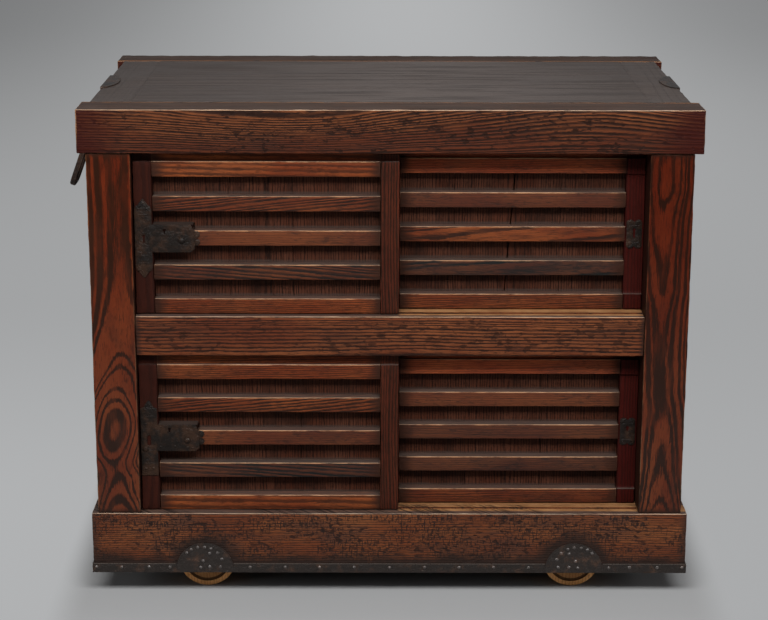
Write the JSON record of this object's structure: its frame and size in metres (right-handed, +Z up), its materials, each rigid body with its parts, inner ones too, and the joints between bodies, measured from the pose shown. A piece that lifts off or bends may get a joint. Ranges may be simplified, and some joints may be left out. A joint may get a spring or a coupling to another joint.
{
  "type": "wheeled storage chest",
  "caption": "Wheeled wooden storage chest with a fixed flat top, slatted sliding doors on two levels, iron-bound base and iron carrying handles.",
  "frame": {"origin": "on the floor, under the middle of the carcass", "axes": "+X to the right seen from the front, +Y from the front to the back, +Z up; the doors face -Y"},
  "size_m": [1.1922, 0.6884, 0.93],
  "materials": {
    "red_lacquered_wood": "worn wiped lacquer",
    "dark_lacquered_wood": "dark wiped lacquer",
    "worn_top_wood": "worn satin",
    "plain_wood": "unfinished",
    "wheel_wood": "oiled, turned",
    "forged_iron": "blackened, forged"
  },
  "bodies": {
    "carcass": {"top_front_beam": "red_lacquered_wood", "top_back_beam": "red_lacquered_wood", "top_side_rails": "red_lacquered_wood", "top_boards": "worn_top_wood", "post_front_left": "red_lacquered_wood", "post_front_right": "red_lacquered_wood", "post_back_left": "red_lacquered_wood", "post_back_right": "red_lacquered_wood", "mid_rail_front": "red_lacquered_wood", "mid_rail_back": "red_lacquered_wood", "mid_side_rails": "dark_lacquered_wood", "shelf_boards": "plain_wood", "side_boards": "dark_lacquered_wood", "back_boards": "plain_wood", "base_front_beam": "red_lacquered_wood", "base_back_beam": "red_lacquered_wood", "base_end_beams": "red_lacquered_wood", "door_sill": "red_lacquered_wood", "floor_boards": "plain_wood", "base_band": "forged_iron", "axle_plates": "forged_iron", "band_nails": "forged_iron", "axle_keepers": "forged_iron", "handle_plate_left": "forged_iron", "handle_plate_right": "forged_iron"},
    "wheelset_left": {"axle_left": "plain_wood", "wheel_front_left": "wheel_wood", "wheel_back_left": "wheel_wood", "axle_pins_left": "forged_iron"},
    "wheelset_right": {"axle_right": "plain_wood", "wheel_front_right": "wheel_wood", "wheel_back_right": "wheel_wood", "axle_pins_right": "forged_iron"},
    "carrying_handle_left": {"handle_left": "forged_iron"},
    "carrying_handle_right": {"handle_right": "forged_iron"},
    "upper_left_door": {"upper_left_stiles": "dark_lacquered_wood", "upper_left_rails": "red_lacquered_wood", "upper_left_panel": "dark_lacquered_wood", "upper_left_lock_block": "dark_lacquered_wood", "upper_left_lock_plate": "forged_iron"},
    "upper_left_lock_bolt": {"upper_left_bolt": "forged_iron"},
    "upper_right_door": {"upper_right_stiles": "dark_lacquered_wood", "upper_right_rails": "red_lacquered_wood", "upper_right_panel": "dark_lacquered_wood", "upper_right_key_plate": "forged_iron"},
    "upper_right_lock_bolt": {"upper_right_bolt": "forged_iron"},
    "lower_left_door": {"lower_left_stiles": "dark_lacquered_wood", "lower_left_rails": "red_lacquered_wood", "lower_left_panel": "dark_lacquered_wood", "lower_left_lock_block": "dark_lacquered_wood", "lower_left_lock_plate": "forged_iron"},
    "lower_left_lock_bolt": {"lower_left_bolt": "forged_iron"},
    "lower_right_door": {"lower_right_stiles": "dark_lacquered_wood", "lower_right_rails": "red_lacquered_wood", "lower_right_panel": "dark_lacquered_wood", "lower_right_key_plate": "forged_iron"},
    "lower_right_lock_bolt": {"lower_right_bolt": "forged_iron"}
  },
  "joints": [
    {"name": "upper_left_door_slide", "type": "slide", "parent": "carcass", "child": "upper_left_door", "axis": [1, 0, 0], "range_m": [0, 0.447]},
    {"name": "upper_left_bolt_throw", "type": "slide", "parent": "upper_left_door", "child": "upper_left_lock_bolt", "axis": [-1, 0, 0], "range_m": [0, 0.01]},
    {"name": "upper_right_door_slide", "type": "slide", "parent": "carcass", "child": "upper_right_door", "axis": [-1, 0, 0], "range_m": [0, 0.447]},
    {"name": "upper_right_bolt_throw", "type": "slide", "parent": "upper_right_door", "child": "upper_right_lock_bolt", "axis": [1, 0, 0], "range_m": [0, 0.01]},
    {"name": "lower_left_door_slide", "type": "slide", "parent": "carcass", "child": "lower_left_door", "axis": [1, 0, 0], "range_m": [0, 0.447]},
    {"name": "lower_left_bolt_throw", "type": "slide", "parent": "lower_left_door", "child": "lower_left_lock_bolt", "axis": [-1, 0, 0], "range_m": [0, 0.01]},
    {"name": "lower_right_door_slide", "type": "slide", "parent": "carcass", "child": "lower_right_door", "axis": [-1, 0, 0], "range_m": [0, 0.447]},
    {"name": "lower_right_bolt_throw", "type": "slide", "parent": "lower_right_door", "child": "lower_right_lock_bolt", "axis": [1, 0, 0], "range_m": [0, 0.01]},
    {"name": "wheelset_left_roll", "type": "hinge", "parent": "carcass", "child": "wheelset_left", "pos_m": [-0.347, 0, 0.054], "axis": [0, 1, 0], "continuous": true},
    {"name": "wheelset_right_roll", "type": "hinge", "parent": "carcass", "child": "wheelset_right", "pos_m": [0.347, 0, 0.054], "axis": [0, 1, 0], "continuous": true},
    {"name": "carrying_handle_left_swing", "type": "hinge", "parent": "carcass", "child": "carrying_handle_left", "pos_m": [-0.563, -0.026, 0.872], "axis": [0, 1, 0], "range_deg": [-20, 168]},
    {"name": "carrying_handle_right_swing", "type": "hinge", "parent": "carcass", "child": "carrying_handle_right", "pos_m": [0.563, -0.026, 0.872], "axis": [0, -1, 0], "range_deg": [0, 188]}
  ]
}
